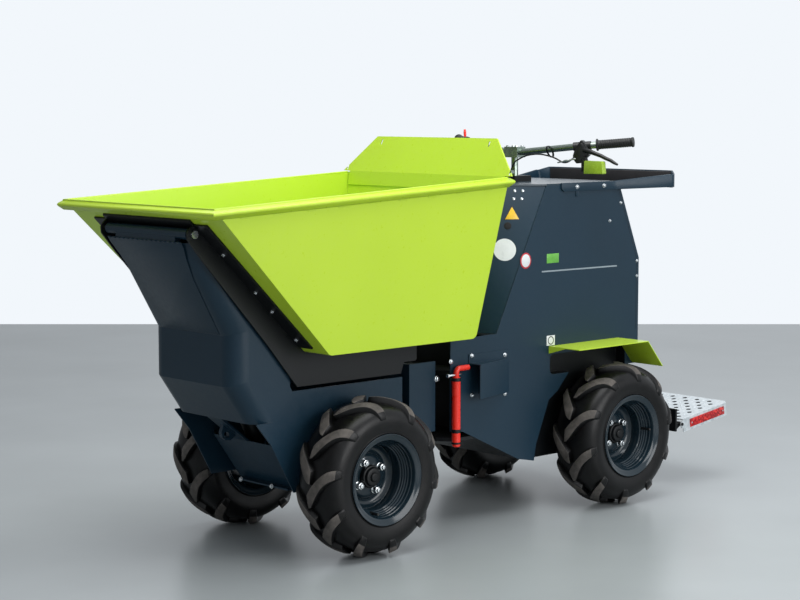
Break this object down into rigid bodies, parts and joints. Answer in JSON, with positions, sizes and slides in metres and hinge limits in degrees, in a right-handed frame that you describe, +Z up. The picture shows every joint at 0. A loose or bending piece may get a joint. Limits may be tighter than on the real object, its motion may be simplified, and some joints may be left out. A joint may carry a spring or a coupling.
{
  "type": "articulated site dumper",
  "caption": "Small electric stand-on site dumper: front skip tips over a hinge at its lip, centre joint steers it, step folds up behind.",
  "frame": {"origin": "middle of the machine's bounding box in plan, on the ground", "axes": "+X forward, +Y to the driver's left, +Z up"},
  "size_m": [2.5392, 0.8908, 1.3175],
  "materials": {
    "lime_paint": "satin lime paint",
    "slate_paint": "satin slate-blue paint",
    "black_paint": "matt black paint",
    "red_paint": "gloss red paint",
    "zinc": "zinc plated",
    "rod_chrome": "hard chrome",
    "black_plastic": "moulded black",
    "grip_rubber": "ribbed black rubber",
    "tyre_rubber": "dusty black rubber"
  },
  "bodies": {
    "rear": {"rear_axle": "black_paint", "rear_frame": "slate_paint", "pivot_pin": "zinc", "body_side_left": "slate_paint", "body_side_right": "slate_paint", "wheelhouse_left": "black_paint", "wheelhouse_right": "black_paint", "hood_front": "slate_paint", "rear_panel": "slate_paint", "top_cover": "slate_paint", "battery_pack": "black_plastic", "fender_left": "lime_paint", "fender_right": "lime_paint", "guard_rail": "slate_paint", "side_scoop": "slate_paint", "lock_bar": "red_paint", "step_mount": "black_paint", "steering_bearing": "black_paint"},
    "front": {"front_axle": "black_paint", "front_chassis": "slate_paint", "front_lower_panel": "slate_paint", "tow_eye": "slate_paint", "hinge_tube": "slate_paint", "hinge_post": "slate_paint"},
    "skip": {"skip_tub": "lime_paint", "skip_rim": "lime_paint", "spill_guard": "lime_paint", "skip_carrier": "black_paint", "tip_pins": "zinc"},
    "ram_barrel": {"ram_barrel": "black_paint"},
    "ram_rod": {"ram_rod": "rod_chrome"},
    "step": {"step_platform": "zinc"},
    "steering_bar": {"handlebar_stem": "zinc", "handlebar": "zinc", "grips": "grip_rubber", "lever_housings": "black_plastic", "control_cable": "grip_rubber"},
    "wheel_front_left": {"rim_fl": "slate_paint", "tyre_fl": "tyre_rubber"},
    "wheel_front_right": {"rim_fr": "slate_paint", "tyre_fr": "tyre_rubber"},
    "wheel_rear_left": {"rim_rl": "slate_paint", "tyre_rl": "tyre_rubber"},
    "wheel_rear_right": {"rim_rr": "slate_paint", "tyre_rr": "tyre_rubber"}
  },
  "joints": [
    {"name": "articulation", "type": "hinge", "parent": "rear", "child": "front", "pos_m": [0.12457, 0, 0.409], "axis": [0, 0, 1], "range_deg": [-19, 19]},
    {"name": "skip_tip", "type": "hinge", "parent": "front", "child": "skip", "pos_m": [1.20257, 0, 1.047], "axis": [0, 1, 0], "range_deg": [0, 85]},
    {"name": "ram_swing", "type": "hinge", "parent": "front", "child": "ram_barrel", "pos_m": [0.77457, 0, 0.339], "axis": [0, 1, 0], "range_deg": [-14.87, 0.3]},
    {"name": "ram_stroke", "type": "slide", "parent": "ram_barrel", "child": "ram_rod", "axis": [0.4427, 0, 0.8967], "range_m": [-0.001, 0.3658]},
    {"name": "steering_bar_turn", "type": "hinge", "parent": "rear", "child": "steering_bar", "pos_m": [-0.40543, 0, 1.149], "axis": [0, 0, 1], "range_deg": [-19, 19]},
    {"name": "step_fold", "type": "hinge", "parent": "rear", "child": "step", "pos_m": [-0.97943, 0, 0.239], "axis": [0, 1, 0], "range_deg": [0, 80]},
    {"name": "wheel_front_left_spin", "type": "hinge", "parent": "front", "child": "wheel_front_left", "pos_m": [0.59457, 0.324, 0.254], "axis": [0, 1, 0], "continuous": true},
    {"name": "wheel_front_right_spin", "type": "hinge", "parent": "front", "child": "wheel_front_right", "pos_m": [0.59457, -0.324, 0.254], "axis": [0, 1, 0], "continuous": true},
    {"name": "wheel_rear_left_spin", "type": "hinge", "parent": "rear", "child": "wheel_rear_left", "pos_m": [-0.58843, 0.324, 0.254], "axis": [0, 1, 0], "continuous": true},
    {"name": "wheel_rear_right_spin", "type": "hinge", "parent": "rear", "child": "wheel_rear_right", "pos_m": [-0.58843, -0.324, 0.254], "axis": [0, 1, 0], "continuous": true}
  ],
  "couplings": [
    {"joint": "ram_swing", "follows": "skip_tip", "ratio": -0.17144},
    {"joint": "ram_stroke", "follows": "skip_tip", "m_per_rad": 0.2459},
    {"joint": "steering_bar_turn", "follows": "articulation", "ratio": 1}
  ]
}
